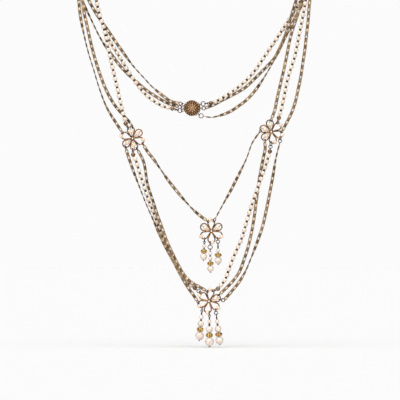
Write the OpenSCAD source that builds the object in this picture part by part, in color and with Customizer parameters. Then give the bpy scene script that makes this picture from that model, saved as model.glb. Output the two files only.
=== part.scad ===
// A necklace of flat fancy chains and pearl strings.
// On each side three strands run from a round box clasp over a support to a wire flower,
// and four strands run on from there to an upper and a lower wire flower with pearl drops.
// Units are millimetres. +X is to the right, +Z is up and -Y is the front.
// The origin is on top of the round support that the strands hang over.

/* [Pearls] */
// Diameter of a pearl on the strings
pearl_d = 4.1; // [3.6:0.1:4.2]
// Distance between the middles of neighbouring pearls
pearl_pitch = 5.3; // [5.1:0.1:6]
// Diameter of the hole through a pearl
pearl_hole = 0.9; // [0.8:0.05:1]
// Diameter of the thread through the pearls
thread_d = 0.5; // [0.3:0.05:0.55]
// Diameter of the round cap at each end of a pearl string
cap_d = 4; // [3.6:0.1:4.2]

/* [Chains] */
// Width of the flat chain across its face
chain_w = 3.1; // [2.6:0.1:3.1]
// Thickness of the flat chain
chain_t = 1.3; // [1:0.1:1.4]
// Longest distance between two sections of a chain's solid
section_step = 8; // [5:1:10]

/* [Rings] */
// Wire of the jump rings
ring_wire = 0.7; // [0.5:0.05:0.7]
// Radius of a small jump ring at the middle of its wire
ring_small = 1.6; // [1.5:0.1:1.7]
// Radius of a large jump ring at the middle of its wire
ring_large = 2; // [1.8:0.1:2.1]
// Gap between two pieces that touch in use
gap = 0.1; // [0.08:0.01:0.12]

/* [Flowers] */
// Wire of the flowers
flower_wire = 1.1; // [1:0.05:1.1]
// Distance from a flower's middle to the middle of a petal's round end
petal_c = 7.5; // [7.45:0.05:7.55]
// Radius of a petal's round end at the middle of its wire
petal_r = 3.15; // [3.1:0.05:3.2]
// Radius of the ring in the middle of a flower
hub_r = 1.3; // [1.2:0.1:1.5]
// Diameter of the pearl on or in a petal
petal_pearl_d = 3.6; // [3.2:0.1:3.7]

/* [Clasp] */
// Diameter of the clasp's box
clasp_d = 14.2; // [13:0.2:15]
// Thickness of the clasp's box without its dome
clasp_t = 3; // [2.6:0.1:3.2]
// Height of the clasp's dome
dome_h = 2; // [1.6:0.1:2.2]
// Diameter of the grains on the dome's outermost circle
grain_d = 1.3; // [1.1:0.05:1.4]

/* [Support] */
// Radius of the round support that the necklace hangs over
support_r = 12; // [10:0.5:14]

/* [Hidden] */
$fn = 24;

// Wires and their radii
wire_r = flower_wire / 2;
pearl_inset = 0.26;
pin_r = 0.3;
ring_wire_r = ring_wire / 2;
eye_wire_r = 0.3;
eye_r = 0.9;
cap_r = cap_d / 2;
pearl_r = pearl_d / 2;

// Depths, with the front strands before the support and the back ones behind it
front_y = -13.5;
chain_lie = support_r + chain_t / 2 + gap;
pearl_lie = support_r + pearl_r + gap;
clasp_y = 12.2;
clasp_eye_y = clasp_y + clasp_t / 2;
strip_t = 0.6;
slack = 0.22;
strip_h = 1.6;
tongue_w = 6;
tongue_t = 0.9;

// Middles of the flowers and of the clasp
flower_left_at = [-54.5, front_y, -160.5];
flower_right_at = [70.5, front_y, -154.5];
flower_upper_at = [16.5, front_y, -244];
flower_lower_at = [14.5, front_y, -307];
clasp_at = [-1.1, clasp_y, -132.9];

// Angle of the first petal of each flower, from +X towards +Z
turn_left = 41;
turn_right = 40;
turn_upper = 31;
turn_lower = 21;

// How far round its petal each pearl has slid from the outermost point, or that it is on a pin inside
slide_left = ["pin", "pin", 26, "pin", "pin", 38];
slide_right = [-14, "pin", "pin", "pin", 32, 12];
slide_upper = ["pin", 18, "pin", -10, 15, 0];
slide_lower = ["pin", 15, 35, 20, 0, 8];
inside_at = 6.2;

// Directions and places on a flower

function dir(angle) = [cos(angle), 0, sin(angle)];
function side(angle) = [-sin(angle), 0, cos(angle)];
function on_petal(flower, petal, angle) = flower + petal_c * dir(petal) + petal_r * dir(angle);

// A join is the place that a jump ring hooks on to, that wire's radius, the direction of the pull,
// the radii of its one or two rings and how far the first of them is turned out of the front plane

function flower_join(flower, petal, angle, pull, rings, tilt = 60) =
    [on_petal(flower, petal, angle), wire_r + slack, pull, rings, tilt, cos(angle - pull)];
function clasp_eye_r(angle) = cos(angle) > 0 ? 1 : 1.5;
function clasp_eye_at(angle) = [clasp_at.x, clasp_eye_y, clasp_at.z]
    + (clasp_d / 2 + (cos(angle) > 0 ? slack + strip_t : 0) + clasp_eye_r(angle) - 0.1) * dir(angle);
function clasp_join(angle, pull, rings) = [clasp_eye_at(angle) + clasp_eye_r(angle) * dir(angle),
    eye_wire_r, pull, rings, cos(angle) > 0 ? -10 : -30, cos(angle - pull)];
function hook(radius) = radius + ring_wire_r + gap;
function ring_tilt(join, i) = i == 0 ? join[4] : join[4] - 75;
function ring_reach(join, i) = i == 0 ? join[3][0] - hook(join[1]) / join[5]
    : ring_reach(join, 0) + join[3][0] + join[3][1] - hook(ring_wire_r);
function ring_at(join, i) = join[0] + ring_reach(join, i) * dir(join[2]);
function last_ring(join) = len(join[3]) - 1;
function far_at(join) = ring_at(join, last_ring(join)) + join[3][last_ring(join)] * dir(join[2]);
function chain_end(join, bend = 0) = ring_at(join, last_ring(join))
    + (join[3][last_ring(join)] + ring_wire_r + gap + 0.3) * dir(join[2] + bend);
function eye_at(join) = far_at(join) + (eye_r - hook(eye_wire_r)) * dir(join[2]);
function cap_at(join) = eye_at(join) + (eye_r + cap_r - 0.35) * dir(join[2]);

// Joins of the left flower
left_outer = flower_join(flower_left_at, turn_left + 120, 125, 125, [ring_small]);
left_inner = flower_join(flower_left_at, turn_left + 60, 63, 94, [ring_small], 75);
left_string = flower_join(flower_left_at, turn_left + 60, 144, 118, [ring_small], 75);
left_drape = flower_join(flower_left_at, turn_left + 300, 310, 307, [ring_small], 75);
left_low_outer = flower_join(flower_left_at, turn_left + 180, 262, 280, [ring_small], 72);
left_low_string = flower_join(flower_left_at, turn_left + 240, 248, 275, [ring_small], 75);
left_low_inner = flower_join(flower_left_at, turn_left + 240, 322, 305, [ring_small], 75);

// Joins of the right flower
right_inner = flower_join(flower_right_at, turn_right + 60, 64, 85, [ring_small]);
right_string = flower_join(flower_right_at, turn_right, 94, 74, [ring_small]);
right_outer = flower_join(flower_right_at, turn_right + 300, 50, 45, [ring_small]);
right_drape = flower_join(flower_right_at, turn_right + 120, 215, 229, [ring_small]);
right_low_inner = flower_join(flower_right_at, turn_right + 180, 270, 262, [ring_small]);
right_low_string = flower_join(flower_right_at, turn_right + 240, 240, 262, [ring_large, ring_small]);
right_low_outer = flower_join(flower_right_at, turn_right + 300, 286, 268, [ring_small, ring_small]);

// Joins of the upper flower
upper_drape_left = flower_join(flower_upper_at, turn_upper + 60, 162, 135, [ring_small], 75);
upper_drape_right = flower_join(flower_upper_at, turn_upper + 60, 35, 60, [ring_large]);

// Joins of the lower flower
lower_left_inner = flower_join(flower_lower_at, turn_lower + 60, 157, 145, [ring_small]);
lower_left_string = flower_join(flower_lower_at, turn_lower + 120, 120, 142, [ring_small, ring_small]);
lower_left_outer = flower_join(flower_lower_at, turn_lower + 180, 150, 130, [ring_small]);
lower_right_inner = flower_join(flower_lower_at, turn_lower, 60, 38, [ring_small], 75);
lower_right_string = flower_join(flower_lower_at, turn_lower + 60, 35, 25, [ring_small]);
lower_right_outer = flower_join(flower_lower_at, turn_lower, 335, 350, [ring_small, ring_small], 75);

// Joins of the clasp
clasp_left_top = clasp_join(158, 163, [ring_small]);
clasp_left_middle = clasp_join(176.5, 165, [ring_small]);
clasp_left_low = clasp_join(195, 165, [ring_large, ring_small]);
clasp_right_top = clasp_join(23, 4, [ring_large, ring_small]);
clasp_right_middle = clasp_join(-1, 0, [ring_small]);
clasp_right_low = clasp_join(-42, -20, [ring_large]);

rings_of_left = [left_outer, left_inner, left_string, left_drape,
    left_low_outer, left_low_string, left_low_inner];
rings_of_right = [right_inner, right_string, right_outer, right_drape,
    right_low_inner, right_low_string, right_low_outer];
rings_of_lower = [lower_left_inner, lower_left_string, lower_left_outer,
    lower_right_inner, lower_right_string, lower_right_outer];
rings_of_clasp = [clasp_left_top, clasp_left_middle, clasp_left_low,
    clasp_right_top, clasp_right_middle, clasp_right_low];

// Where a strand lies over the support, from the front to the back

function over(x, lie, turn = 0) = [for (a = [0:22.5:180])
    [x, -lie * cos(a), -support_r + lie * sin(a), turn]];
function with_turn(point, turn) = [point.x, point.y, point.z, turn];

// Routes: x, y, z and, for a flat chain, how far its face is turned about the strand

route_left_outer = concat(
    [with_turn(chain_end(left_outer), 30)],
    [[-69, -13.5, -147, 30], [-77, -13.5, -134, 60], [-84.5, -13, -115, 85], [-89.5, -13, -98.5, 90],
    [-94, -13, -84, 85], [-98.5, -13, -65.5, 70], [-101.5, -13, -49.5, 15], [-103, -13, -36, 0]],
    over(-109, chain_lie),
    [[-98, 13, -40.5, 40], [-92.5, 13, -52, 75], [-86, 13.2, -65.5, 80], [-80, 14, -76, 60],
    [-74, 15.5, -84, 20], [-67, 16.2, -93.5, 0], [-58.5, 16.2, -102.5, 0], [-49, 16.2, -111, 0],
    [-41, 15.5, -117.5, 0], [-35, 15.6, -121.5, 0], [-28.5, 15.6, -125.5, 0],
    [-22.5, 16.9, -128.6, 0], [-17.8, 16.6, -130, 0]],
    [with_turn(chain_end(clasp_left_middle), 0)]);

route_left_inner = concat(
    [with_turn(chain_end(left_inner), 75)],
    [[-58, -11.8, -144.8, 30], [-62.5, -11.2, -140, 40], [-67.5, -11.6, -134.5, 30],
    [-72.5, -12.5, -127.5, 20],
    [-79, -13, -115, 0], [-85.5, -13, -97.5, 0], [-91.5, -13, -76.5, 0], [-95.5, -13, -58.5, 0],
    [-98, -13, -47.5, 0], [-99.5, -13, -36, 0]],
    over(-104.5, chain_lie),
    [[-94, 14, -36, 0], [-88.5, 15.8, -46, 0], [-82.5, 16.2, -55, 0], [-77, 15.6, -62.5, 0],
    [-71, 14, -71.5, 0], [-64, 13.2, -81.5, 20], [-54, 13.2, -95, 80], [-45, 13.2, -105, 90],
    [-35.5, 13.2, -115, 80], [-29.5, 13.2, -120, 20], [-25, 13.3, -123.5, 0], [-20.5, 13.5, -126.5, 0]],
    [with_turn(chain_end(clasp_left_top), 0)]);

route_left_string = concat(
    [cap_at(left_string)],
    [[-62.3, -14.8, -140], [-64.5, -15, -131.5], [-67.5, -14.5, -118], [-71, -14.3, -103],
    [-74.5, -14.3, -88],
    [-77, -14.3, -76], [-80.5, -14.3, -60.5], [-84, -14.3, -49.5], [-87, -14.2, -36]],
    [for (p = over(-94, pearl_lie)) [p.x, p.y, p.z]],
    [[-87.5, 13.6, -36], [-84.5, 13.1, -49], [-80, 13, -62], [-75, 13, -73], [-70, 13, -81], [-65, 13, -89],
    [-59, 13, -99], [-52, 13, -109.5], [-45, 13, -118.5], [-38.5, 13, -124.5], [-32, 13, -128.8],
    [-25.5, 13.2, -132]],
    [cap_at(clasp_left_low)]);

route_right_inner = concat(
    [with_turn(chain_end(right_inner), 0)],
    [[73.5, -13.5, -135.5, 0], [75.5, -13.2, -126, 0], [78.5, -13, -112.5, 20], [81.5, -13, -100, 20],
    [84.5, -13, -85.5, 0], [87.5, -13, -70.5, 0], [90.5, -12.9, -60, 0], [94, -12.7, -50, 0],
    [98, -12.6, -36, 0]],
    over(101.5, chain_lie),
    [[93, 12.8, -36, 0], [89.5, 12.8, -47.5, 0], [85.5, 12.8, -60.5, 0], [81.5, 12.8, -72, 0],
    [77.5, 12.8, -80.5, 0], [73, 12.8, -88.5, 0], [67, 12.9, -95, 0], [60, 13, -102, 0], [53, 14, -109, 0],
    [47, 15.4, -114.5, 0], [40.5, 16, -118.5, 0], [33, 16.2, -122.5, 0], [26, 16.2, -126, 0],
    [19.5, 16.9, -129.5, 0]],
    [with_turn(chain_end(clasp_right_middle), 0)]);

route_right_outer = concat(
    [with_turn(chain_end(right_outer), 0)],
    [[84.5, -13.5, -146, 0], [88.5, -13.5, -138, 0], [92, -13.3, -128, 0], [94.5, -13, -117, 0],
    [97, -13, -105, 20], [99, -13, -92, 20], [100.5, -13, -82, 0], [102, -13, -69, 0], [103.5, -13, -55, 0],
    [105.2, -13, -36, 0]],
    over(109.5, chain_lie),
    [[100, 13.2, -36, 0], [91, 14.4, -54, 0], [82, 14.9, -71.5, 10], [76.5, 15.4, -84, 60],
    [71.5, 15.2, -93, 85], [67.5, 14.2, -100, 85], [62.5, 13.6, -108, 60], [56.5, 13.3, -116.5, 10],
    [51.5, 13.3, -122.5, 0], [46, 13.3, -127.5, 0], [40.5, 13.3, -131.5, 0], [34.5, 13.4, -135.5, 0],
    [29, 13.5, -138, 20], [23, 13.6, -140, 70], [17.5, 13.7, -141.2, 85]],
    [with_turn(chain_end(clasp_right_low), 90)]);

route_right_string = concat(
    [cap_at(right_string)],
    [[79.5, -14.2, -134], [82, -14.6, -123], [84.5, -15, -110], [88, -15, -98], [91.5, -15, -87.5],
    [94, -15, -75], [96.5, -15, -62.5], [99, -15, -50], [101.5, -15, -36]],
    [for (p = over(105.5, pearl_lie)) [p.x, p.y, p.z]],
    [[97, 16.8, -36], [90.5, 17.6, -47.5], [83.5, 16.8, -58], [75, 14.6, -71], [65.5, 13.3, -85],
    [56, 13, -99], [47.5, 13, -108.5], [39, 13, -115.5], [30, 13, -121.5], [22.5, 13, -126]],
    [cap_at(clasp_right_top)]);

route_drape_left = concat(
    [with_turn(chain_end(left_drape), 0)],
    [[-40.5, -13.5, -173, 0], [-36.5, -13.5, -178, 20], [-29.5, -13.5, -188, 80],
    [-22.5, -13.5, -198, 150], [-15.5, -13.5, -207, 190], [-7.5, -13.5, -216.5, 240],
    [-1.5, -13.5, -223, 285], [5.5, -13.5, -229.5, 345]],
    [with_turn(chain_end(upper_drape_left), 360)]);

route_drape_right = concat(
    [with_turn(chain_end(right_drape), 60)],
    [[54, -13.5, -163.5, 80], [48, -13.5, -179, 85], [40, -13.5, -195.5, 35], [34.5, -13.5, -206.5, 30],
    [27, -13.5, -220, 80]],
    [with_turn(chain_end(upper_drape_right), 85)]);

route_low_left_outer = concat(
    [with_turn(chain_end(left_low_outer), 0)],
    [[-57.5, -13.5, -179, 10], [-52.5, -13.5, -193, 50], [-47.5, -14, -206, 85], [-42, -14.5, -220, 90],
    [-36.5, -15, -232.5, 80], [-29.5, -15.8, -248, 15], [-24.5, -16.2, -258.5, 0], [-19, -16.2, -268.5, 0],
    [-13.5, -16.2, -279, 0], [-8, -16, -289, 0], [-4, -15.2, -295.5, 0], [0, -14.2, -301, 0]],
    [with_turn(chain_end(lower_left_outer), 0)]);

route_low_left_inner = concat(
    [with_turn(chain_end(left_low_inner), 20)],
    [[-45.5, -13.5, -179, 30], [-40.5, -13.5, -203.5, 40], [-36.5, -13.8, -215.5, 40],
    [-32.5, -14.2, -228, 30], [-27.5, -14.4, -242, 10], [-23.5, -14.4, -253, 0],
    [-18.5, -14.4, -264, 0], [-13, -14.4, -275, 0],
    [-7.5, -14.8, -284, 0], [-1.5, -15.8, -290, 0], [4, -15.6, -293.2, 0]],
    [with_turn(chain_end(lower_left_inner), 0)]);

route_low_left_string = concat(
    [cap_at(left_low_string)],
    [[-52, -13.5, -179], [-48.5, -13.5, -190], [-44.5, -13.4, -202], [-41, -13, -213.5],
    [-36.5, -12.2, -225],
    [-32, -11.5, -237], [-28, -11.3, -248], [-22.5, -11.3, -260], [-16.5, -11.3, -272],
    [-10.5, -11.3, -282.5],
    [-5, -11.3, -290.5], [-1, -12, -294]],
    [cap_at(lower_left_string)]);

route_low_right_inner = concat(
    [with_turn(chain_end(right_low_inner), 0)],
    [[65, -12.8, -169, 0], [63.5, -11.6, -177, 0], [61.5, -10.8, -187, 0], [58.5, -10.6, -205, 0],
    [56, -11.4, -225, 0], [52.5, -12.6, -246, 0], [49.5, -13.2, -258.5, 0], [46, -13.4, -269.5, 0],
    [41.5, -13.5, -281, 0], [35, -14.2, -290, 0], [29, -14.8, -296, 0]],
    [with_turn(chain_end(lower_right_inner), 0)]);

route_low_right_outer = concat(
    [with_turn(chain_end(right_low_outer), 80)],
    [[74.5, -13.5, -179, 70], [72, -13.5, -194, 20], [69, -13.5, -210, 0], [66, -13.5, -225, 0],
    [62.5, -13.5, -240, 0], [57, -13.5, -256, 30], [52, -13.5, -269, 80], [46.5, -13.5, -281.5, 60],
    [41, -13.5, -290.5, 10], [34.5, -13.5, -298.5, 0]],
    [with_turn(chain_end(lower_right_outer, 60), 0)]);

route_low_right_string = concat(
    [cap_at(right_low_string)],
    [[65.5, -13.9, -185], [60, -14.2, -200], [55, -14, -214], [49.5, -13.6, -231.5], [42.5, -13.5, -254],
    [37.5, -13.5, -265], [32.5, -13.2, -278], [28.5, -12.2, -288.5]],
    [cap_at(lower_right_string)]);

// A smooth curve through the route's points

function span(a, b) = norm([b.x - a.x, b.y - a.y, b.z - a.z]);
function slope(p, i) = i == 0 ? (p[1] - p[0]) / span(p[0], p[1])
    : i == len(p) - 1 ? (p[i] - p[i - 1]) / span(p[i - 1], p[i])
    : let (before = span(p[i - 1], p[i]), after = span(p[i], p[i + 1]))
        ((p[i] - p[i - 1]) * after / before + (p[i + 1] - p[i]) * before / after) / (before + after);
function curve(p, i, t) = let (d = span(p[i], p[i + 1]))
    p[i] * (2 * t ^ 3 - 3 * t ^ 2 + 1) + slope(p, i) * d * (t ^ 3 - 2 * t ^ 2 + t)
    + p[i + 1] * (3 * t ^ 2 - 2 * t ^ 3) + slope(p, i + 1) * d * (t ^ 3 - t ^ 2);
function smooth(p, step) = concat([for (i = [0:len(p) - 2])
    let (n = ceil(span(p[i], p[i + 1]) / step)) each [for (k = [0:n - 1]) curve(p, i, k / n)]],
    [p[len(p) - 1]]);

// Points at given lengths along a curve

function lengths(p) = [for (i = 0, s = 0; i < len(p);
    i = i + 1, s = s + (i < len(p) ? span(p[i - 1], p[i]) : 0)) s];
function pick(p, run, s) = [for (c = [0:2]) lookup(s, [for (i = [0:len(p) - 1]) [run[i], p[i][c]]])];

// Gaps between the pearls of a string, one more than there are pearls

function string_gaps(route) = let (fine = smooth(route, 1), run = lengths(fine),
    start = cap_r + pearl_r + 2 * gap, room = run[len(run) - 1] - 2 * start,
    count = floor(room / pearl_pitch), pitch = room / count,
    inner = [for (k = [1:count]) pick(fine, run, start + (k - 0.5) * pitch)],
    first = route[0], last = route[len(route) - 1], out = start - pitch / 2)
    concat([first + out * unit(inner[0] - first)], inner, [last + out * unit(inner[count - 1] - last)]);

// A tube of a given section swept through a list of points

function unit(v) = v / norm(v);
function xyz(p) = [p.x, p.y, p.z];
function face_of(p) = p.z > -support_r ? unit([0, p.y, p.z + support_r]) : [0, sign(p.y), 0];
function along(p, i) = unit(xyz(p[min(i + 1, len(p) - 1)]) - xyz(p[max(i - 1, 0)]));
function tube_ring(p, i, wide, thick, sides) =
    let (t = along(p, i), w = unit(cross(t, face_of(p[i]))), f = cross(w, t),
        turn = len(p[i]) > 3 ? p[i][3] : 0,
        u = w * cos(turn) + f * sin(turn), v = f * cos(turn) - w * sin(turn), k = 1 / cos(180 / sides))
    [for (j = [0:sides - 1]) let (a = 360 * (j + 0.5) / sides)
        xyz(p[i]) + u * wide / 2 * k * cos(a) + v * thick / 2 * k * sin(a)];

module tube(p, wide, thick, sides) {
    n = len(p);
    walls = [for (i = [0:n - 2], j = [0:sides - 1]) let (a = i * sides + j, b = i * sides + (j + 1) % sides)
        each [[a, b, a + sides], [b, b + sides, a + sides]]];
    first = [for (j = [0:sides - 1]) sides - 1 - j];
    last = [for (j = [0:sides - 1]) (n - 1) * sides + j];
    polyhedron([for (i = [0:n - 1]) each tube_ring(p, i, wide, thick, sides)], concat([first, last], walls));
}

module chain(route) {
    color("darkgoldenrod") tube(smooth(route, section_step), chain_w, chain_t, 8);
}

// Pearls, their thread and the caps at its ends

module point_to(direction) {
    rotate([0, acos(direction.z / norm(direction)), atan2(direction.y, direction.x)]) children();
}

module pearl(at, direction, diameter) {
    translate(at) point_to(direction) difference() {
        sphere(d = diameter);
        cylinder(d = pearl_hole, h = 2 * diameter, center = true);
    }
}

module pearls(route) {
    gaps = string_gaps(route);
    color("ivory") for (i = [0:len(gaps) - 2])
        pearl((gaps[i] + gaps[i + 1]) / 2, gaps[i + 1] - gaps[i], pearl_d);
}

module thread(route) {
    gaps = string_gaps(route);
    n = len(gaps);
    first = route[0] + 0.3 * unit(gaps[1] - route[0]);
    last = route[len(route) - 1] + 0.3 * unit(gaps[n - 2] - route[len(route) - 1]);
    color("sienna") tube(concat([first], [for (i = [1:n - 2]) gaps[i]], [last]), thread_d, thread_d, 6);
}

module ring(at, angle, tilt, radius, wire) {
    translate(at) rotate([0, -angle, 0]) rotate([90 + tilt, 0, 0])
        rotate_extrude() translate([radius, 0]) circle(r = wire);
}

module cap(join, towards) {
    difference() {
        union() {
            translate(cap_at(join)) rotate([90, 0, 0]) sphere(d = cap_d);
            ring(eye_at(join), join[2], ring_tilt(join, last_ring(join)) - 75, eye_r, eye_wire_r);
        }
        translate(cap_at(join)) point_to(towards - cap_at(join)) cylinder(d = pearl_hole, h = cap_d);
    }
}

module caps(first, last, route) {
    gaps = string_gaps(route);
    color("peru") cap(first, gaps[1]);
    color("peru") cap(last, gaps[len(gaps) - 2]);
}

// Jump rings

module rings(joins) {
    color("saddlebrown") for (join = joins) for (i = [0:len(join[3]) - 1])
        ring(ring_at(join, i), join[2], ring_tilt(join, i), join[3][i], ring_wire_r);
}

// A flower of six wire petals round a small ring

module flower(at, turn, slides) {
    half = asin(petal_r / petal_c);
    color("sienna") translate(at) {
        rotate([90, 0, 0]) rotate_extrude() translate([hub_r, 0]) circle(r = wire_r);
        for (k = [0:5]) rotate([0, -turn - 60 * k, 0]) {
            translate([petal_c, 0, 0]) rotate([90, 0, 0]) rotate([0, 0, -90 - half])
                rotate_extrude(angle = 180 + 2 * half) translate([petal_r, 0]) circle(r = wire_r);
            for (s = [-1, 1]) rotate([0, s * half, 0]) translate([hub_r, 0, 0]) rotate([0, 90, 0])
                cylinder(r = wire_r, h = petal_c * cos(half) - hub_r);
            if (slides[k] == "pin") translate([hub_r, 0, 0]) rotate([0, 90, 0])
                cylinder(r = pin_r, h = petal_c + petal_r - hub_r);
        }
    }
}

module petal_pearl(at, petal, slide) {
    translate(at + petal_c * dir(petal) + (petal_r - pearl_inset) * dir(petal + slide))
        rotate([0, -petal - slide, 0]) difference() {
            sphere(d = petal_pearl_d);
            cylinder(r = wire_r + pearl_inset + gap + 0.01, h = 2 * petal_pearl_d, center = true);
        }
}

module flower_pearls(at, turn, slides) {
    color("seashell") for (k = [0:5]) {
        petal = turn + 60 * k;
        if (slides[k] == "pin") pearl(at + inside_at * dir(petal), dir(petal), petal_pearl_d);
        else petal_pearl(at, petal, slides[k]);
    }
}

// The clasp: a round box with grains on its dome, and a tongue with a strip round the edge

clasp_left_eyes = [158, 176.5, 195];
clasp_right_eyes = [23, -1, -42];
grain_circles = [[0.87, 18, 1.1], [0.66, 18, 0.85], [0.47, 9, 1.1], [0.25, 9, 0.7]];

module clasp_eye(angle) {
    ring(clasp_eye_at(angle), angle, cos(angle) > 0 ? 80 : 50, clasp_eye_r(angle), eye_wire_r);
}

module clasp_dome() {
    dome_r = (clasp_d ^ 2 / 4 + dome_h ^ 2) / (2 * dome_h);
    intersection() {
        translate([0, dome_r - dome_h, 0]) sphere(r = dome_r);
        translate([0, 0.05, 0]) rotate([90, 0, 0]) cylinder(d = clasp_d - 0.6, h = dome_h + 1);
    }
    for (circle = grain_circles) for (k = [1:circle[1]]) {
        reach = circle[0] * clasp_d / 2;
        translate(reach * dir(360 * k / circle[1]) + [0, dome_r - dome_h - sqrt(dome_r ^ 2 - reach ^ 2), 0])
            sphere(d = grain_d * circle[2]);
    }
    translate([0, -dome_h, 0]) sphere(d = grain_d);
}

module clasp_box() {
    color("peru") difference() {
        union() {
            translate(clasp_at) {
                rotate([-90, 0, 0]) cylinder(d = clasp_d, h = clasp_t);
                clasp_dome();
            }
            for (angle = clasp_left_eyes) clasp_eye(angle);
        }
        translate([clasp_at.x + 1, clasp_eye_y - tongue_t / 2 - gap, clasp_at.z - tongue_w / 2 - gap])
            cube([clasp_d, tongue_t + 2 * gap, tongue_w + 2 * gap]);
    }
}

module clasp_tongue() {
    color("peru") {
        translate([clasp_at.x, clasp_eye_y + strip_h / 2, clasp_at.z]) rotate([90, 0, 0]) rotate([0, 0, -64])
            rotate_extrude(angle = 104) translate([clasp_d / 2 + slack, 0]) square([strip_t, strip_h]);
        translate([clasp_at.x + 1.5, clasp_eye_y - tongue_t / 2, clasp_at.z - tongue_w / 2])
            cube([clasp_d / 2 - 1, tongue_t, tongue_w]);
        for (angle = clasp_right_eyes) clasp_eye(angle);
    }
}

// Drops: one or two jump rings, and a pin with an eye that carries the pearls and a fluted disc.
// A drop is its hook, its lean, its parts from the top, how far below the hook they start, and its rings

pin_eye_r = 1;
collar_d = 1.9;

function part_h(part) = part[0] == "pearl" ? part[1] : part[2];
function part_top(drop, i) = i == 0 ? drop[3] : part_top(drop, i - 1) + part_h(drop[2][i - 1]) + gap;
function drop_ring_at(drop, i) = i == 0 ? drop[4][0] - hook(wire_r + slack)
    : drop_ring_at(drop, 0) + drop[4][0] + drop[4][1] - hook(ring_wire_r);

module hang(drop) {
    translate(drop[0]) rotate([0, -drop[1], 0]) children();
}

module drop_wire(drop) {
    last = len(drop[4]) - 1;
    eye_c = drop_ring_at(drop, last) + drop[4][last] + pin_eye_r - hook(eye_wire_r);
    bottom = part_top(drop, len(drop[2]));
    color("saddlebrown") hang(drop) {
        for (i = [0:last]) ring([0, 0, -drop_ring_at(drop, i)], 270, 85 - 75 * i, drop[4][i], ring_wire_r);
        ring([0, 0, -eye_c], 270, last == 0 ? 0 : 80, pin_eye_r, eye_wire_r);
        translate([0, 0, -bottom - 0.1]) cylinder(r = pin_r, h = bottom + 0.1 - eye_c - pin_eye_r);
        translate([0, 0, -drop[3] + gap]) cylinder(d = 1.3, h = drop[3] - gap - eye_c - pin_eye_r - 0.2);
        translate([0, 0, -bottom - 0.4]) cylinder(d = 1.6, h = 0.4);
        for (i = [0:len(drop[2]) - 1]) if (drop[2][i][0] == "collar")
            translate([0, 0, -part_top(drop, i) - drop[2][i][2]])
                cylinder(d = drop[2][i][1], h = drop[2][i][2]);
    }
}

module drop_pearls(drop) {
    color("ivory") hang(drop) for (i = [0:len(drop[2]) - 1]) if (drop[2][i][0] == "pearl")
        pearl([0, 0, -part_top(drop, i) - drop[2][i][1] / 2], [0, 0, 1], drop[2][i][1]);
}

module drop_disc(drop) {
    color("gold") hang(drop) for (i = [0:len(drop[2]) - 1]) if (drop[2][i][0] == "disc")
        translate([0, 0, -part_top(drop, i) - drop[2][i][2]]) disc(drop[2][i][1] / 2, drop[2][i][2]);
}

module disc(radius, height) {
    difference() {
        rotate_extrude() polygon([[pearl_hole / 2, 0], [radius * 0.65, 0], [radius, height * 0.3],
            [radius, height * 0.7], [radius * 0.65, height], [pearl_hole / 2, height]]);
        for (k = [1:12]) rotate([0, 0, 30 * k]) translate([radius + 0.1, 0, -1])
            cylinder(d = 0.9, h = height + 2);
    }
}

drop_upper_left = [on_petal(flower_upper_at, turn_upper + 180, 276), -3,
    [["pearl", 3.4], ["collar", collar_d, 0.9], ["disc", 5.9, 3.4], ["pearl", 6.3]], 5, [ring_large]];
drop_upper_middle = [on_petal(flower_upper_at, turn_upper + 240, 246), 1,
    [["pearl", 3.2], ["collar", collar_d, 0.9], ["pearl", 3.6], ["collar", collar_d, 0.9],
    ["disc", 6, 3.2], ["pearl", 6]], 8.2, [ring_large, ring_large]];
drop_upper_right = [on_petal(flower_upper_at, turn_upper + 300, 257), 1,
    [["pearl", 3.4], ["collar", collar_d, 0.6], ["disc", 6.6, 3.2], ["pearl", 6.5]],
    9.1, [ring_small, ring_small]];
drop_lower_left = [on_petal(flower_lower_at, turn_lower + 180, 284), -5,
    [["pearl", 3.8], ["collar", collar_d, 1.3], ["pearl", 5.8], ["disc", 6.3, 3.8], ["pearl", 7.8]],
    6.8, [ring_large]];
drop_lower_middle = [on_petal(flower_lower_at, turn_lower + 240, 297), 0,
    [["pearl", 3.4], ["collar", collar_d, 2], ["pearl", 6.4], ["disc", 6.6, 3.6], ["pearl", 8.1]],
    6.6, [ring_large]];
drop_lower_right = [on_petal(flower_lower_at, turn_lower + 300, 272), 7,
    [["pearl", 3.7], ["collar", collar_d, 1.6], ["pearl", 6.2], ["disc", 6.6, 3.4], ["pearl", 7.3]],
    8.8, [ring_small, ring_small]];

clasp_box();
clasp_tongue();
flower(flower_left_at, turn_left, slide_left);  // flower_left
flower(flower_right_at, turn_right, slide_right);  // flower_right
flower(flower_upper_at, turn_upper, slide_upper);  // flower_upper
flower(flower_lower_at, turn_lower, slide_lower);  // flower_lower
flower_pearls(flower_left_at, turn_left, slide_left);  // flower_pearls_left
flower_pearls(flower_right_at, turn_right, slide_right);  // flower_pearls_right
flower_pearls(flower_upper_at, turn_upper, slide_upper);  // flower_pearls_upper
flower_pearls(flower_lower_at, turn_lower, slide_lower);  // flower_pearls_lower
chain(route_left_outer);  // chain_left_outer
chain(route_left_inner);  // chain_left_inner
chain(route_right_outer);  // chain_right_outer
chain(route_right_inner);  // chain_right_inner
chain(route_drape_left);  // drape_left
chain(route_drape_right);  // drape_right
chain(route_low_left_outer);  // festoon_left_outer
chain(route_low_left_inner);  // festoon_left_inner
chain(route_low_right_outer);  // festoon_right_outer
chain(route_low_right_inner);  // festoon_right_inner
pearls(route_left_string);  // pearls_left
pearls(route_right_string);  // pearls_right
pearls(route_low_left_string);  // festoon_pearls_left
pearls(route_low_right_string);  // festoon_pearls_right
thread(route_left_string);  // thread_left
thread(route_right_string);  // thread_right
thread(route_low_left_string);  // festoon_thread_left
thread(route_low_right_string);  // festoon_thread_right
caps(left_string, clasp_left_low, route_left_string);  // caps_left
caps(right_string, clasp_right_top, route_right_string);  // caps_right
caps(left_low_string, lower_left_string, route_low_left_string);  // festoon_caps_left
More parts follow.
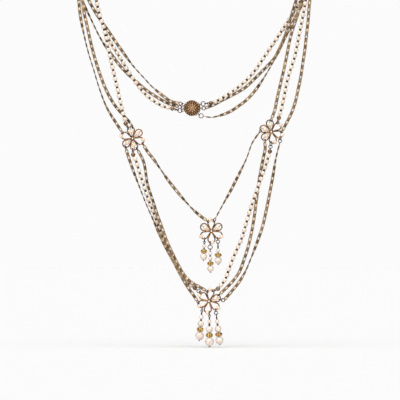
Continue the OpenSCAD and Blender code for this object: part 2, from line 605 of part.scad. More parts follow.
caps(right_low_string, lower_right_string, route_low_right_string);  // festoon_caps_right
rings(rings_of_clasp);  // rings_clasp
rings(rings_of_left);  // rings_left
rings(rings_of_right);  // rings_right
rings([upper_drape_left, upper_drape_right]);  // rings_upper
rings(rings_of_lower);  // rings_lower
drop_wire(drop_upper_left);  // drop_wire_upper_left
drop_disc(drop_upper_left);  // drop_disc_upper_left
drop_pearls(drop_upper_left);  // drop_pearls_upper_left
drop_wire(drop_upper_middle);  // drop_wire_upper_middle
drop_disc(drop_upper_middle);  // drop_disc_upper_middle
drop_pearls(drop_upper_middle);  // drop_pearls_upper_middle
drop_wire(drop_upper_right);  // drop_wire_upper_right
drop_disc(drop_upper_right);  // drop_disc_upper_right
drop_pearls(drop_upper_right);  // drop_pearls_upper_right
drop_wire(drop_lower_left);  // drop_wire_lower_left
drop_disc(drop_lower_left);  // drop_disc_lower_left
drop_pearls(drop_lower_left);  // drop_pearls_lower_left
drop_wire(drop_lower_middle);  // drop_wire_lower_middle
drop_disc(drop_lower_middle);  // drop_disc_lower_middle
drop_pearls(drop_lower_middle);  // drop_pearls_lower_middle
drop_wire(drop_lower_right);  // drop_wire_lower_right
drop_disc(drop_lower_right);  // drop_disc_lower_right
drop_pearls(drop_lower_right);  // drop_pearls_lower_right
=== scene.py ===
import math

import bpy
import numpy as np
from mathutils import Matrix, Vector


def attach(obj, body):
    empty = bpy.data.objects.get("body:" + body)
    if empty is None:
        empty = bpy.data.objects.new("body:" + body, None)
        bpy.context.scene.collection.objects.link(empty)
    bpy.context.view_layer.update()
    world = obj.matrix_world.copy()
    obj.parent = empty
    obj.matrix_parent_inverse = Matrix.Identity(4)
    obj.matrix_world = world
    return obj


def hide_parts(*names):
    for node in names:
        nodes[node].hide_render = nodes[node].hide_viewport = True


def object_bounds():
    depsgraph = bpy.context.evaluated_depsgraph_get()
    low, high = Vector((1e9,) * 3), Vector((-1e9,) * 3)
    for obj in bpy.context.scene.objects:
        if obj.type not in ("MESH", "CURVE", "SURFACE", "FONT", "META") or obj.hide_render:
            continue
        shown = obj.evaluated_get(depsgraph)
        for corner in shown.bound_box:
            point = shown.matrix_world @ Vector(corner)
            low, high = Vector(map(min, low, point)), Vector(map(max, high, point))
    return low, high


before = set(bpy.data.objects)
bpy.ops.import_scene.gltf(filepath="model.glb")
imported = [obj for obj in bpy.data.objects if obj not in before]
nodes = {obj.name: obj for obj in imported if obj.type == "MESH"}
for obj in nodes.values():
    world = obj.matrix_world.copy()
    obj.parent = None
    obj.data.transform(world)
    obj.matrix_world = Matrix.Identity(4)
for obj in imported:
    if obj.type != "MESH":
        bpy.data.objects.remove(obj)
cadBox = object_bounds()
print("frame loaded:", len(nodes), "nodes")


def newObject(name, data):
    made = bpy.data.objects.new(name, data)
    bpy.context.scene.collection.objects.link(made)
    return made


# Camera: straight from the front, and far off, so that front and back strands keep their scale

view = {
    "picture": 400,               # pixels along each side of the photograph
    "pixel": 0.0009,              # metres of the necklace in one pixel
    "frontY": -0.0135,            # where the strands with the flowers hang
    "middle": (0.0063, -0.216),   # x and z in the middle of the photograph
    "distance": 6.0,
    "sensor": 36.0,               # millimetres
}

cameraData = bpy.data.cameras.new("camera")
cameraData.sensor_width = view["sensor"]
cameraData.lens = view["sensor"] * view["distance"] / (view["picture"] * view["pixel"])
camera = newObject("camera", cameraData)
camera.location = (view["middle"][0], view["frontY"] - view["distance"], view["middle"][1])
camera.rotation_euler = (math.radians(90), 0, 0)  # level, and looking along y
bpy.context.scene.camera = camera
print("camera placed")


# Shader sums: the values and colours of a material, worked out with Python's own operators

bumpDepth = 0.0001  # metres


class Feed:  # one output of a node
    def __init__(self, tree, socket=None):
        self.tree = tree
        self.socket = socket

    def node(self, kind, settings=None, inputs=None, out=0):
        made = self.tree.nodes.new(kind)
        for name, value in (settings or {}).items():
            setattr(made, name, value)
        for name, value in (inputs or {}).items():
            if isinstance(value, Feed):
                self.tree.links.new(value.socket, made.inputs[name])
            else:
                made.inputs[name].default_value = value
        return Feed(self.tree, made.outputs[out])

    def mathNode(self, operation, first, second=0.0):
        return self.node("ShaderNodeMath", {"operation": operation}, {0: first, 1: second})

    def __add__(self, other):
        return self.mathNode("ADD", self, other)

    __radd__ = __add__

    def __sub__(self, other):
        return self.mathNode("SUBTRACT", self, other)

    def __rsub__(self, other):
        return self.mathNode("SUBTRACT", other, self)

    def __mul__(self, other):
        return self.mathNode("MULTIPLY", self, other)

    __rmul__ = __mul__

    def between(self, low, high):  # 0 at low, 1 at high and eased in between; low may be the larger one
        return self.node("ShaderNodeMapRange", {"interpolation_type": "SMOOTHSTEP"},
                         {"Value": self, "From Min": low, "From Max": high})

    def mix(self, first, second):  # from one colour to another, this being the factor
        colours = {6: first, 7: second}  # a Mix node's two sockets for colours; its factor is socket 0
        for key, colour in colours.items():
            if not isinstance(colour, Feed):
                colours[key] = (*colour, 1)
        return self.node("ShaderNodeMix", {"data_type": "RGBA"}, {0: self, **colours}, out=2)

    def noise(self, size, octaves):  # at this place; its patches are about as large as size
        return self.node("ShaderNodeTexNoise", {},
                         {"Vector": self, "Scale": 1 / size, "Detail": octaves})

    def axis(self, letter):  # X, Y or Z of this place
        return self.node("ShaderNodeSeparateXYZ", {}, {0: self}, out=letter)

    def distanceTo(self, point):
        return self.node("ShaderNodeVectorMath", {"operation": "DISTANCE"},
                         {0: self, 1: point}, out="Value")

    def bump(self, strength):  # this being the height
        return self.node("ShaderNodeBump", {},
                         {"Strength": strength, "Distance": bumpDepth, "Height": self})


def newMaterial(name, build, fixed):  # build gives what changes over the surface, fixed what doesn't
    material = bpy.data.materials.new(name)
    material.use_nodes = True
    tree = material.node_tree
    shader = tree.nodes["Principled BSDF"]
    for socket, value in fixed.items():
        shader.inputs[socket].default_value = value
    place = Feed(tree).node("ShaderNodeTexCoord", out="Object")
    for socket, feed in build(place).items():
        tree.links.new(feed.socket, shader.inputs[socket])
    return material


# Old plated metal: darker in blotches, and brighter where it has rubbed

metalLooks = {  # blotch and grain are the sizes of their patches in metres
    "chain": {"dark": (0.31, 0.205, 0.118), "middle": (0.64, 0.475, 0.29), "bright": (0.97, 0.77, 0.49),
              "blotch": 0.004, "grain": 0.0006, "rubbed": 0.5, "rough": 0.3, "bump": 0.25},
    "clip": {"dark": (0.095, 0.059, 0.032), "middle": (0.25, 0.168, 0.098), "bright": (0.62, 0.44, 0.26),
             "blotch": 0.005, "grain": 0.0006, "rubbed": 0.35, "rough": 0.32, "bump": 0.25},
    "wire": {"dark": (0.06, 0.023, 0.008), "middle": (0.33, 0.145, 0.046), "bright": (0.9, 0.53, 0.2),
             "blotch": 0.004, "grain": 0.0008, "rubbed": 0.48, "rough": 0.3, "bump": 0.2},
    "ring": {"dark": (0.03, 0.014, 0.007), "middle": (0.125, 0.058, 0.027), "bright": (0.4, 0.22, 0.1),
             "blotch": 0.004, "grain": 0.0006, "rubbed": 0.35, "rough": 0.3, "bump": 0.2},
    "cap": {"dark": (0.11, 0.052, 0.027), "middle": (0.38, 0.205, 0.105), "bright": (0.74, 0.5, 0.28),
            "blotch": 0.003, "grain": 0.0005, "rubbed": 0.45, "rough": 0.3, "bump": 0.3},
    "bead": {"dark": (0.03, 0.018, 0.01), "middle": (0.2, 0.115, 0.06), "bright": (0.5, 0.32, 0.18),
             "blotch": 0.006, "grain": 0.0005, "rubbed": 0.35, "rough": 0.32, "bump": 0.2},
}
metalWear = {
    "blotchRange": (0.35, 0.68),   # of the noise, from the dark tone to the middle one
    "rubRange": (0.45, 0.75),
    "duller": 0.14,                # roughness added where nothing has rubbed
}


def blotches(place, look):  # the metal before it has rubbed
    lighter = place.noise(look["blotch"], octaves=3).between(*metalWear["blotchRange"])
    return lighter.mix(look["dark"], look["middle"])


def metal(name, look, grooveShade=None):
    def build(place):
        rub = place.noise(look["grain"], octaves=2).between(*metalWear["rubRange"])
        colour = (rub * look["rubbed"]).mix(blotches(place, look), look["bright"])
        # where a groove mask is given, it darkens the metal there as painted shade
        if grooveShade:
            colour = grooveShade(place).mix(colour, look["groove"])
        return {"Base Color": colour,
                "Roughness": look["rough"] + (1 - rub) * metalWear["duller"],
                "Normal": place.noise(look["grain"], octaves=3).bump(look["bump"])}
    return newMaterial(name, build, {"Metallic": 1.0})


metals = {kind: metal(kind + "_metal_finish", look) for kind, look in metalLooks.items()}


# Pearls: a glossy coat over tints that swirl round each pearl and change from one to the next

pearlLooks = {  # tint and swirl are sizes too
    "string": {"cream": (0.77, 0.65, 0.5), "peach": (0.79, 0.62, 0.5), "pale": (0.88, 0.82, 0.75),
               "dusk": (0.42, 0.33, 0.27), "tint": 0.006, "swirl": 0.0018, "cloudy": 0.4},
    "flower": {"cream": (0.86, 0.66, 0.45), "peach": (0.85, 0.59, 0.43), "pale": (0.92, 0.78, 0.62),
               "dusk": (0.48, 0.33, 0.24), "tint": 0.006, "swirl": 0.0018, "cloudy": 0.4},
    "drop": {"cream": (0.73, 0.62, 0.5), "peach": (0.7, 0.555, 0.5), "pale": (0.83, 0.76, 0.72),
             "dusk": (0.4, 0.3, 0.27), "tint": 0.005, "swirl": 0.0035, "cloudy": 0.3},
}
pearlSkin = {
    "peachRange": (0.38, 0.62),
    "paleRange": (0.42, 0.75),
    "pale": 0.6,                 # the most of it that shows
    "duskRange": (0.52, 0.26),   # strongest where the noise is low
    "pits": 0.0009,
    "bump": 0.06,
    "rough": 0.22,
    "duller": 0.12,
    "coat": {"Coat Weight": 0.8, "Coat Roughness": 0.06, "Specular IOR Level": 0.7},
}


def pearl(name, look):
    def build(place):
        swirl = place.noise(look["swirl"], octaves=1)
        peachy = place.noise(look["tint"], octaves=1).between(*pearlSkin["peachRange"])
        colour = peachy.mix(look["cream"], look["peach"])
        colour = (swirl.between(*pearlSkin["paleRange"]) * pearlSkin["pale"]).mix(colour, look["pale"])
        colour = (swirl.between(*pearlSkin["duskRange"]) * look["cloudy"]).mix(colour, look["dusk"])
        return {"Base Color": colour,
                "Roughness": pearlSkin["rough"] + swirl * pearlSkin["duller"],
                "Normal": place.noise(pearlSkin["pits"], octaves=2).bump(pearlSkin["bump"])}
    return newMaterial(name, build, pearlSkin["coat"])


pearls = {kind: pearl(kind + "_pearl_finish", look) for kind, look in pearlLooks.items()}


# The twisted thread of the pearl strings

threadLook = {
    "dark": (0.055, 0.033, 0.02),
    "light": (0.17, 0.11, 0.07),
    "strand": 0.0004,
    "lightRange": (0.35, 0.7),
    "rough": 0.7,
    "duller": 0.15,
    "bump": 0.5,
}


def threadNodes(place):
    twist = place.noise(threadLook["strand"], octaves=3)
    lighter = twist.between(*threadLook["lightRange"])
    return {"Base Color": lighter.mix(threadLook["dark"], threadLook["light"]),
            "Roughness": threadLook["rough"] + twist * threadLook["duller"],
            "Normal": twist.bump(threadLook["bump"])}


threadFinish = newMaterial("thread_finish", threadNodes, {"Sheen Weight": 0.2})


# The clasp: its dome is painted darker between the grains, as painted shade, and brightest on the grains in
# its middle, as a painted highlight

claspLook = {
    "dome": (-0.0011, 0.0102, -0.1329),   # the dome's foremost point
    "domeHeight": 0.002,
    "domeWide": 0.0071,                   # its radius, where it meets the box
    "dark": (0.1, 0.046, 0.02),
    "middle": (0.34, 0.18, 0.085),
    "blotch": 0.003,
    "grain": 0.0005,
    # painted shade between the grains, darkest towards the dome's edge
    "paintedShadeBetweenGrains": (0.085, 0.045, 0.026),
    "tip": (0.68, 0.43, 0.23),
    # the grains in the dome's middle are lighter still: a painted highlight
    "middleTipHighlight": (0.9, 0.65, 0.4),
    "tipHeight": (0.00005, 0.00035),      # of the grains over the dome
    # the painted highlight fades out over this distance
    "highlightReach": (0.005, 0.0012),       # from the dome's foremost point
    "boxFront": (0.0121, 0.0124),         # y where the dome's finish gives way to the box's
    "tipped": 0.5,                        # how much of the tips' colour shows
    # the extra in the middle is a painted highlight
    "middleHighlightShare": 0.35,                   # and how much more in the middle
    "rough": 0.34,
    "duller": 0.25,
    "bump": 0.3,
}


def claspNodes(place):
    look = claspLook
    height = look["domeHeight"]
    curve = (look["domeWide"] ** 2 + height ** 2) / (2 * height)
    x, y, z = look["dome"]
    tips = (place.distanceTo((x, y + curve, z)) - curve).between(*look["tipHeight"])
    # painted highlight mask: 1 at the dome's foremost point, fading out towards its edge
    inner = place.distanceTo(look["dome"]).between(*look["highlightReach"])
    plain = blotches(place, look)
    # grain tips, with the painted highlight in the dome's middle
    bright = inner.mix(look["tip"], look["middleTipHighlight"])
    tipped = (look["tipped"] + inner * look["middleHighlightShare"]).mix(plain, bright)
    # between the grains, painted shade that lightens towards the dome's middle
    dome = tips.mix(inner.mix(look["paintedShadeBetweenGrains"], look["middle"]), tipped)
    return {"Base Color": place.axis("Y").between(*look["boxFront"]).mix(dome, plain),
            "Roughness": look["rough"] + (1 - tips) * look["duller"],
            "Normal": place.noise(look["grain"], octaves=3).bump(look["bump"])}


claspFinishWithPaintedLight = newMaterial("clasp_finish_with_painted_light", claspNodes, {"Metallic": 1.0})
print("materials made")


# Finishes of the solids that stay as they are; the first line that fits a name counts

finishes = [
    (("clasp_box",), claspFinishWithPaintedLight),
    (("clasp_tongue", "caps_", "festoon_caps_"), metals["cap"]),
    (("flower_pearls_",), pearls["flower"]),
    (("drop_pearls_",), pearls["drop"]),
    (("pearls_", "festoon_pearls_"), pearls["string"]),
    (("flower_",), metals["wire"]),
    (("rings_", "drop_wire_"), metals["ring"]),
    (("thread_", "festoon_thread_"), threadFinish),
]


def cover(solid, finish):
    solid.data.materials.clear()
    solid.data.materials.append(finish)


for name, solid in nodes.items():
    for starts, finish in finishes:
        if name.startswith(starts):
            cover(solid, finish)
            break


# The drops' gilt discs: the hollows of their flutes are painted darker, as painted shade

discLook = {
    "dark": (0.42, 0.23, 0.05), "middle": (0.93, 0.62, 0.17), "bright": (1.0, 0.88, 0.44),
    "blotch": 0.0025, "grain": 0.0005, "rubbed": 0.5, "rough": 0.24, "bump": 0.3,
    # painted shade in each groove of the flutes
    "groove": (0.13, 0.062, 0.02),
    "flutes": 12,
    "grooveShadeRange": (0.1, 0.95),   # of the wave that runs round a disc
}


# a mask that is 1 in each groove of a disc, where painted shade darkens the gilt
def grooveShadeNodes(solid):
    corners = [Vector(corner) for corner in solid.bound_box]
    middle = sum(corners, Vector()) / len(corners)

    def grooveShade(place):
        away = place.node("ShaderNodeVectorMath", {"operation": "SUBTRACT"}, {0: place, 1: middle})
        turn = place.mathNode("ARCTAN2", away.axis("Y"), away.axis("X"))
        return place.mathNode("COSINE", turn * discLook["flutes"]).between(*discLook["grooveShadeRange"])
    return grooveShade


for name, solid in nodes.items():
    if name.startswith("drop_disc_"):
        cover(solid, metal(name.replace("drop_disc", "gilt"), discLook, grooveShadeNodes(solid)))
print("solids finished")


# Routes of the strands in metres; a chain's points also have the turn of its face in degrees

strand = {
    "supportR": 0.012,       # the round support, whose top is at the origin
    "chainThick": 0.0013,
    "pearlR": 0.00205,
    "gap": 0.0001,           # between neighbours
    "overPoints": 9,
    "step": 0.0005,
}
chainLie = strand["supportR"] + strand["chainThick"] / 2 + strand["gap"]
pearlLie = strand["supportR"] + strand["pearlR"] + strand["gap"]


def over(x, lie, *turn):  # from the front over the support to the back; only a chain has a turn
    angles = np.radians(np.linspace(0, 180, strand["overPoints"]))
    return [(x, -lie * math.cos(a), -strand["supportR"] + lie * math.sin(a), *turn) for a in angles]


routes = {
    "chain_left_outer":
        [(-.0641, -.0135, -.1544, 30), (-.069, -.0135, -.147, 30), (-.077, -.0135, -.134, 60),
         (-.0845, -.013, -.115, 85), (-.0895, -.013, -.0985, 90), (-.094, -.013, -.084, 85),
         (-.0985, -.013, -.0655, 70), (-.1015, -.013, -.0495, 15), (-.103, -.013, -.036, 0)] +
        over(-.109, chainLie, 0) +
        [(-.098, .013, -.0405, 40), (-.0925, .013, -.052, 75), (-.086, .0132, -.0655, 80),
         (-.08, .014, -.076, 60), (-.074, .0155, -.084, 20), (-.067, .0162, -.0935, 0),
         (-.0585, .0162, -.1025, 0), (-.049, .0162, -.111, 0), (-.041, .0155, -.1175, 0),
         (-.035, .0156, -.1215, 0), (-.0285, .0156, -.1255, 0), (-.0225, .0169, -.1286, 0),
         (-.0178, .0166, -.13, 0), (-.0128, .0137, -.1318, 0)],
    "chain_left_inner":
        [(-.0546, -.0135, -.1493, 75), (-.058, -.0118, -.1448, 30), (-.0625, -.0112, -.14, 40),
         (-.0675, -.0116, -.1345, 30), (-.0725, -.0125, -.1275, 20), (-.079, -.013, -.115, 0),
         (-.0855, -.013, -.0975, 0), (-.0915, -.013, -.0765, 0), (-.0955, -.013, -.0585, 0),
         (-.098, -.013, -.0475, 0), (-.0995, -.013, -.036, 0)] +
        over(-.1045, chainLie, 0) +
        [(-.094, .014, -.036, 0), (-.0885, .0158, -.046, 0), (-.0825, .0162, -.055, 0),
         (-.077, .0156, -.0625, 0), (-.071, .014, -.0715, 0), (-.064, .0132, -.0815, 20),
         (-.054, .0132, -.095, 80), (-.045, .0132, -.105, 90), (-.0355, .0132, -.115, 80),
         (-.0295, .0132, -.12, 20), (-.025, .0133, -.1235, 0), (-.0205, .0135, -.1265, 0),
         (-.012, .0137, -.1286, 0)],
    "pearls_left":
        [(-.0606, -.0135, -.1473), (-.0623, -.0148, -.14), (-.0645, -.015, -.1315),
         (-.0675, -.0145, -.118), (-.071, -.0143, -.103), (-.0745, -.0143, -.088),
         (-.077, -.0143, -.076), (-.0805, -.0143, -.0605), (-.084, -.0143, -.0495),
         (-.087, -.0142, -.036)] +
        over(-.094, pearlLie) +
        [(-.0875, .0136, -.036), (-.0845, .0131, -.049), (-.08, .013, -.062), (-.075, .013, -.073),
         (-.07, .013, -.081), (-.065, .013, -.089), (-.059, .013, -.099), (-.052, .013, -.1095),
         (-.045, .013, -.1185), (-.0385, .013, -.1245), (-.032, .013, -.1288), (-.0255, .0132, -.132),
         (-.0187, .0137, -.1334)],
    "chain_right_inner":
        [(.0707, -.0135, -.1431, 0), (.0735, -.0135, -.1355, 0), (.0755, -.0132, -.126, 0),
         (.0785, -.013, -.1125, 20), (.0815, -.013, -.1, 20), (.0845, -.013, -.0855, 0),
         (.0875, -.013, -.0705, 0), (.0905, -.0129, -.06, 0), (.094, -.0127, -.05, 0),
         (.098, -.0126, -.036, 0)] +
        over(.1015, chainLie, 0) +
        [(.093, .0128, -.036, 0), (.0895, .0128, -.0475, 0), (.0855, .0128, -.0605, 0),
         (.0815, .0128, -.072, 0), (.0775, .0128, -.0805, 0), (.073, .0128, -.0885, 0),
         (.067, .0129, -.095, 0), (.06, .013, -.102, 0), (.053, .014, -.109, 0),
         (.047, .0154, -.1145, 0), (.0405, .016, -.1185, 0), (.033, .0162, -.1225, 0),
         (.026, .0162, -.126, 0), (.0195, .0169, -.1295, 0), (.0105, .0137, -.1331, 0)],
    "chain_right_outer":
        [(.0805, -.0135, -.1537, 0), (.0845, -.0135, -.146, 0), (.0885, -.0135, -.138, 0),
         (.092, -.0133, -.128, 0), (.0945, -.013, -.117, 0), (.097, -.013, -.105, 20),
         (.099, -.013, -.092, 20), (.1005, -.013, -.082, 0), (.102, -.013, -.069, 0),
         (.1035, -.013, -.055, 0), (.1052, -.013, -.036, 0)] +
        over(.1095, chainLie, 0) +
        [(.1, .0132, -.036, 0), (.091, .0144, -.054, 0), (.082, .0149, -.0715, 10),
         (.0765, .0154, -.084, 60), (.0715, .0152, -.093, 85), (.0675, .0142, -.1, 85),
         (.0625, .0136, -.108, 60), (.0565, .0133, -.1165, 10), (.0515, .0133, -.1225, 0),
         (.046, .0133, -.1275, 0), (.0405, .0133, -.1315, 0), (.0345, .0134, -.1355, 0),
         (.029, .0135, -.138, 20), (.023, .0136, -.14, 70), (.0175, .0137, -.1412, 85),
         (.0085, .0137, -.1403, 90)],
    "pearls_right":
        [(.0773, -.0135, -.1421), (.0795, -.0142, -.134), (.082, -.0146, -.123), (.0845, -.015, -.11),
         (.088, -.015, -.098), (.0915, -.015, -.0875), (.094, -.015, -.075), (.0965, -.015, -.0625),
         (.099, -.015, -.05), (.1015, -.015, -.036)] +
        over(.1055, pearlLie) +
        [(.097, .0168, -.036), (.0905, .0176, -.0475), (.0835, .0168, -.058), (.075, .0146, -.071),
         (.0655, .0133, -.085), (.056, .013, -.099), (.0475, .013, -.1085), (.039, .013, -.1155),
         (.03, .013, -.1215), (.0225, .013, -.126), (.0162, .0137, -.1285)],
    "drape_left":
        [(-.0446, -.0135, -.1664, 0), (-.0405, -.0135, -.173, 0), (-.0365, -.0135, -.178, 20),
         (-.0295, -.0135, -.188, 80), (-.0225, -.0135, -.198, 150), (-.0155, -.0135, -.207, 190),
         (-.0075, -.0135, -.2165, 240), (-.0015, -.0135, -.223, 285), (.0055, -.0135, -.2295, 345),
         (.0126, -.0135, -.2347, 360)],
    "drape_right":
        [(.0601, -.0135, -.1547, 60), (.054, -.0135, -.1635, 80), (.048, -.0135, -.179, 85),
         (.04, -.0135, -.1955, 35), (.0345, -.0135, -.2065, 30), (.027, -.0135, -.22, 80),
         (.0199, -.0135, -.233, 85)],
    "festoon_left_outer":
        [(-.0604, -.0135, -.1697, 0), (-.0575, -.0135, -.179, 10), (-.0525, -.0135, -.193, 50),
         (-.0475, -.014, -.206, 85), (-.042, -.0145, -.22, 90), (-.0365, -.015, -.2325, 80),
         (-.0295, -.0158, -.248, 15), (-.0245, -.0162, -.2585, 0), (-.019, -.0162, -.2685, 0),
         (-.0135, -.0162, -.279, 0), (-.008, -.016, -.289, 0), (-.004, -.0152, -.2955, 0),
         (0, -.0142, -.301, 0), (.004, -.0135, -.3072, 0)],
    "festoon_left_inner":
        [(-.0499, -.0135, -.1708, 20), (-.0455, -.0135, -.179, 30), (-.0405, -.0135, -.2035, 40),
         (-.0365, -.0138, -.2155, 40), (-.0325, -.0142, -.228, 30), (-.0275, -.0144, -.242, 10),
         (-.0235, -.0144, -.253, 0), (-.0185, -.0144, -.264, 0), (-.013, -.0144, -.275, 0),
         (-.0075, -.0148, -.284, 0), (-.0015, -.0158, -.29, 0), (.004, -.0156, -.2932, 0),
         (.0117, -.0135, -.2976, 0)],
    "festoon_pearls_left":
        [(-.0539, -.0135, -.1753), (-.052, -.0135, -.179), (-.0485, -.0135, -.19),
         (-.0445, -.0134, -.202), (-.041, -.013, -.2135), (-.0365, -.0122, -.225),
         (-.032, -.0115, -.237), (-.028, -.0113, -.248), (-.0225, -.0113, -.26),
         (-.0165, -.0113, -.272), (-.0105, -.0113, -.2825), (-.005, -.0113, -.2905),
         (-.001, -.012, -.294), (.0016, -.0135, -.2953)],
    "festoon_right_inner":
        [(.0646, -.0135, -.1637, 0), (.065, -.0128, -.169, 0), (.0635, -.0116, -.177, 0),
         (.0615, -.0108, -.187, 0), (.0585, -.0106, -.205, 0), (.056, -.0114, -.225, 0),
         (.0525, -.0126, -.246, 0), (.0495, -.0132, -.2585, 0), (.046, -.0134, -.2695, 0),
         (.0415, -.0135, -.281, 0), (.035, -.0142, -.29, 0), (.029, -.0148, -.296, 0),
         (.024, -.0135, -.3009, 0)],
    "festoon_right_outer":
        [(.0783, -.0135, -.1637, 80), (.0745, -.0135, -.179, 70), (.072, -.0135, -.194, 20),
         (.069, -.0135, -.21, 0), (.066, -.0135, -.225, 0), (.0625, -.0135, -.24, 0),
         (.057, -.0135, -.256, 30), (.052, -.0135, -.269, 80), (.0465, -.0135, -.2815, 60),
         (.041, -.0135, -.2905, 10), (.0345, -.0135, -.2985, 0), (.0279, -.0135, -.3063, 0)],
    "festoon_pearls_right":
        [(.0691, -.0135, -.1723), (.0655, -.0139, -.185), (.06, -.0142, -.2), (.055, -.014, -.214),
         (.0495, -.0136, -.2315), (.0425, -.0135, -.254), (.0375, -.0135, -.265),
         (.0325, -.0132, -.278), (.0285, -.0122, -.2885), (.0225, -.0135, -.2958)],
}


def smoothCurve(points):  # through the points, in steps of about the same length
    p = np.array(points, float)
    gap = np.linalg.norm(np.diff(p[:, :3], axis=0), axis=1)
    slope = np.empty_like(p)
    slope[0] = (p[1] - p[0]) / gap[0]
    slope[-1] = (p[-1] - p[-2]) / gap[-1]
    before, after = gap[:-1, None], gap[1:, None]
    arriving = (p[1:-1] - p[:-2]) * after / before
    leaving = (p[2:] - p[1:-1]) * before / after
    slope[1:-1] = (arriving + leaving) / (before + after)
    pieces = []
    for i, length in enumerate(gap):
        t = np.arange(0, 1, strand["step"] / length)[:, None]
        pieces.append(p[i] * (2 * t**3 - 3 * t**2 + 1) + slope[i] * length * (t**3 - 2 * t**2 + t)
                      + p[i + 1] * (3 * t**2 - 2 * t**3) + slope[i + 1] * length * (t**3 - t**2))
    return np.vstack([*pieces, p[-1:]])


def unit(v):
    return v / np.linalg.norm(v, axis=-1, keepdims=True)


def strandFrames(points):  # length run, and the place with its three directions in one table
    fine = smoothCurve(points)
    xyz = fine[:, :3]
    run = np.concatenate([[0], np.cumsum(np.linalg.norm(np.diff(xyz, axis=0), axis=1))])
    along = unit(np.gradient(xyz, axis=0))
    face = np.zeros_like(xyz)  # away from the support above its middle, and forwards or back below it
    above = xyz[:, 2] > -strand["supportR"]
    face[:, 1] = np.where(above, xyz[:, 1], np.sign(xyz[:, 1]))
    face[:, 2] = np.where(above, xyz[:, 2] + strand["supportR"], 0)
    across = unit(np.cross(along, unit(face)))
    outward = np.cross(across, along)
    turn = np.radians(fine[:, 3:4]) if fine.shape[1] > 3 else np.zeros((len(fine), 1))
    side = across * np.cos(turn) + outward * np.sin(turn)
    up = outward * np.cos(turn) - across * np.sin(turn)
    return run, np.hstack([xyz, along, side, up])


def framesAt(run, table, places):  # middles and directions at these lengths along a strand
    rows = np.column_stack([np.interp(places, run, table[:, k]) for k in range(table.shape[1])])
    return rows[:, :3], unit(rows[:, 3:6]), unit(rows[:, 6:9]), unit(rows[:, 9:12])


# Small parts: points in their own directions along, across and up, copied to many places on a strand

sharpAngle = math.radians(40)  # edges steeper than this aren't smoothed


def tubeFaces(stations, sides, closed):  # closed: the last round of points joins on to the first
    faces = []
    for i in range(stations if closed else stations - 1):
        for j in range(sides):
            a, b = i * sides + j, i * sides + (j + 1) % sides
            c, d = (i + 1) % stations * sides + j, (i + 1) % stations * sides + (j + 1) % sides
            faces.append((a, c, d, b))
    return faces


def copiesAt(template, centres, along, side, up):
    return (centres[:, None] + along[:, None] * template[None, :, 0:1]
            + side[:, None] * template[None, :, 1:2] + up[:, None] * template[None, :, 2:3])


def strandPiece(name, groups, replaced=()):  # a group is its copies, their faces and their finish
    mesh = bpy.data.meshes.new(name)
    vertices, faces, finishNumbers = [], [], []
    first = 0
    for number, (copies, pattern, finish) in enumerate(groups):
        mesh.materials.append(finish)
        for copy in copies:
            vertices.append(copy)
            faces += [tuple(first + k for k in face) for face in pattern]
            finishNumbers += [number] * len(pattern)
            first += len(copy)
    mesh.from_pydata(np.vstack(vertices).tolist(), [], faces)
    mesh.polygons.foreach_set("material_index", finishNumbers)
    mesh.polygons.foreach_set("use_smooth", [True] * len(mesh.polygons))
    mesh.set_sharp_from_angle(angle=sharpAngle)
    mesh.update()
    piece = newObject(name, mesh)
    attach(piece, "necklace")
    if replaced:
        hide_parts(*replaced)


# Chains: oval rings of flat wire, with a ribbed clip over each joint of two rings

chain = {
    "ringLong": 0.005,        # outside
    "ringWide": 0.0032,
    "ringPoints": 24,
    "wireWide": 0.0006,       # half of the wire, in the ring's plane
    "wireThick": 0.00036,     # and half across it
    "wireSides": 8,
    "clipLong": 0.0036,
    "clipWide": 0.00295,
    "clipSides": 16,
    "squareness": 4,          # of the clip's section; 2 is an oval
    "ribs": 4,
    "groove": 0.82,           # width between two ribs, as a share of the clip's
    "pitch": 0.0061,
}


def ovalRing():
    points = []
    half = (chain["ringLong"] / 2 - chain["wireWide"], chain["ringWide"] / 2 - chain["wireWide"])
    for i in range(chain["ringPoints"]):
        a = 2 * math.pi * i / chain["ringPoints"]
        out = unit(np.array([math.cos(a) / half[0], math.sin(a) / half[1], 0]))
        for j in range(chain["wireSides"]):
            b = 2 * math.pi * j / chain["wireSides"]
            points.append(np.array([half[0] * math.cos(a), half[1] * math.sin(a), 0])
                          + out * chain["wireWide"] * math.cos(b)
                          + np.array([0, 0, chain["wireThick"] * math.sin(b)]))
    return np.array(points), tubeFaces(chain["ringPoints"], chain["wireSides"], True)


def ribbedClip():
    points = []
    sides, power = chain["clipSides"], chain["squareness"]
    stations = 3 * chain["ribs"] + 1  # every third one lies in a groove
    for i in range(stations):
        x = chain["clipLong"] * (i / (stations - 1) - 0.5)
        scale = chain["groove"] if i % 3 == 0 else 1.0
        for j in range(sides):
            a = 2 * math.pi * (j + 0.5) / sides
            corner = (abs(math.cos(a)) ** power + abs(math.sin(a)) ** power) ** (1 / power)
            points.append((x, chain["clipWide"] / 2 * scale * math.cos(a) / corner,
                           strand["chainThick"] / 2 * scale * math.sin(a) / corner))
    ends = [tuple(range(sides)), tuple(reversed(range((stations - 1) * sides, stations * sides)))]
    return np.array(points), tubeFaces(stations, sides, False) + ends


ringPoints, ringFaces = ovalRing()
clipPoints, clipFaces = ribbedClip()
ringsMade = 0
for name, points in routes.items():
    if "pearls" in name:
        continue
    run, table = strandFrames(points)
    first, last = chain["ringLong"] / 2, run[-1] - chain["ringLong"] / 2
    count = round((last - first) / chain["pitch"]) + 1
    middles = np.linspace(first, last, count)
    rings = copiesAt(ringPoints, *framesAt(run, table, middles))
    clips = copiesAt(clipPoints, *framesAt(run, table, (middles[1:] + middles[:-1]) / 2))
    strandPiece(name + "_links", [(rings, ringFaces, metals["chain"]), (clips, clipFaces, metals["clip"])],
               (name,))
    ringsMade += count
print("chains made:", ringsMade, "rings")


# Small brass spacers between the pearls of a string

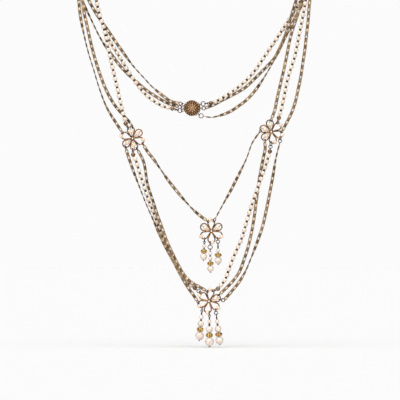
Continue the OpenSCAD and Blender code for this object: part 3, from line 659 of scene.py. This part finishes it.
spacer = {
    "capR": 0.002,       # the round cap that a string's route starts and ends in
    "pitch": 0.0053,     # from pearl to pearl, or a little more
    "long": 0.0015,
    "outer": 0.0012,     # radius, as is the bore
    "bore": 0.00032,
    "sides": 12,
    # how far along and how far out, as shares of the length and of the outer radius
    "outline": [(-0.34, 0.3), (-0.42, 0.6), (-0.5, 0.85), (-0.25, 1),
                (0.25, 1), (0.5, 0.85), (0.42, 0.6), (0.34, 0.3)],
}


def brassSpacer():
    outline = [(x * spacer["long"], max(r * spacer["outer"], spacer["bore"])) for x, r in spacer["outline"]]
    angles = [2 * math.pi * j / spacer["sides"] for j in range(spacer["sides"])]
    points = [(x, r * math.cos(a), r * math.sin(a)) for x, r in outline for a in angles]
    return np.array(points), tubeFaces(len(outline), spacer["sides"], True)


spacerPoints, spacerFaces = brassSpacer()
for name, points in routes.items():
    if "pearls" not in name:
        continue
    run, table = strandFrames(points)
    firstPearl = spacer["capR"] + strand["pearlR"] + 2 * strand["gap"]
    count = math.floor((run[-1] - 2 * firstPearl) / spacer["pitch"])
    pitch = (run[-1] - 2 * firstPearl) / count
    middles = firstPearl + (np.arange(count) + 0.5) * pitch
    copies = copiesAt(spacerPoints, *framesAt(run, table, middles))
    strandPiece(name.replace("pearls", "spacers"), [(copies, spacerFaces, metals["bead"])])
    print(name, count + 1, "pearls with", count, "spacers")


# Studio: a pale floor under the lowest drop, a white surround and one soft sun

studio = {
    "floorGap": 0.0006,                  # under the lowest drop
    "floorSize": 14,
    "floorColour": (0.83, 0.829, 0.8275),
    "speck": 0.02,                       # size of the floor's faint specks
    "speckRange": (0.3, 0.7),
    "speckLighter": 1.01,
    "surround": (0.966, 0.966, 0.966),   # what the camera sees behind the necklace
    "front": 1.1,                        # how much of it lights the necklace from the front
    "back": 0.08,                        # and from behind
    "frontRange": (-0.15, -0.75),        # y of the direction, where the one turns into the other
    "sun": 2.98,
    "sunAngle": 75,
    "sunFrom": (-0.1, -0.45, 1.0),
}


def floorNodes(place):
    lighter = [c * studio["speckLighter"] for c in studio["floorColour"]]
    speck = place.noise(studio["speck"], octaves=2).between(*studio["speckRange"])
    return {"Base Color": speck.mix(studio["floorColour"], lighter)}


reach = studio["floorSize"] / 2
floorCorners = [(-reach, -reach, 0), (reach, -reach, 0), (reach, reach, 0), (-reach, reach, 0)]
floorFinish = newMaterial("floor_finish", floorNodes, {"Roughness": 1.0, "Specular IOR Level": 0.0})
floorMesh = bpy.data.meshes.new("floor")
floorMesh.from_pydata(floorCorners, [], [(0, 1, 2, 3)])
floorMesh.materials.append(floorFinish)
floor = newObject("floor", floorMesh)
floor.location.z = cadBox[0][2] - studio["floorGap"]

sunLight = bpy.data.lights.new("sun", "SUN")
sunLight.energy = studio["sun"]
sunLight.angle = math.radians(studio["sunAngle"])
sun = newObject("sun", sunLight)
sun.location = studio["sunFrom"]
sun.rotation_euler = Vector(studio["sunFrom"]).to_track_quat("Z", "Y").to_euler()

world = bpy.data.worlds.new("studio")
world.use_nodes = True
background = world.node_tree.nodes["Background"]
background.inputs["Color"].default_value = (*studio["surround"], 1)
air = Feed(world.node_tree)
seen = air.node("ShaderNodeLightPath", out="Is Camera Ray")
fromFront = air.node("ShaderNodeTexCoord", out="Generated").axis("Y").between(*studio["frontRange"])
light = studio["back"] + fromFront * (studio["front"] - studio["back"])
strength = seen + (1 - seen) * light
world.node_tree.links.new(strength.socket, background.inputs["Strength"])
bpy.context.scene.world = world
bpy.context.scene.view_settings.view_transform = "Standard"
print("studio lit")
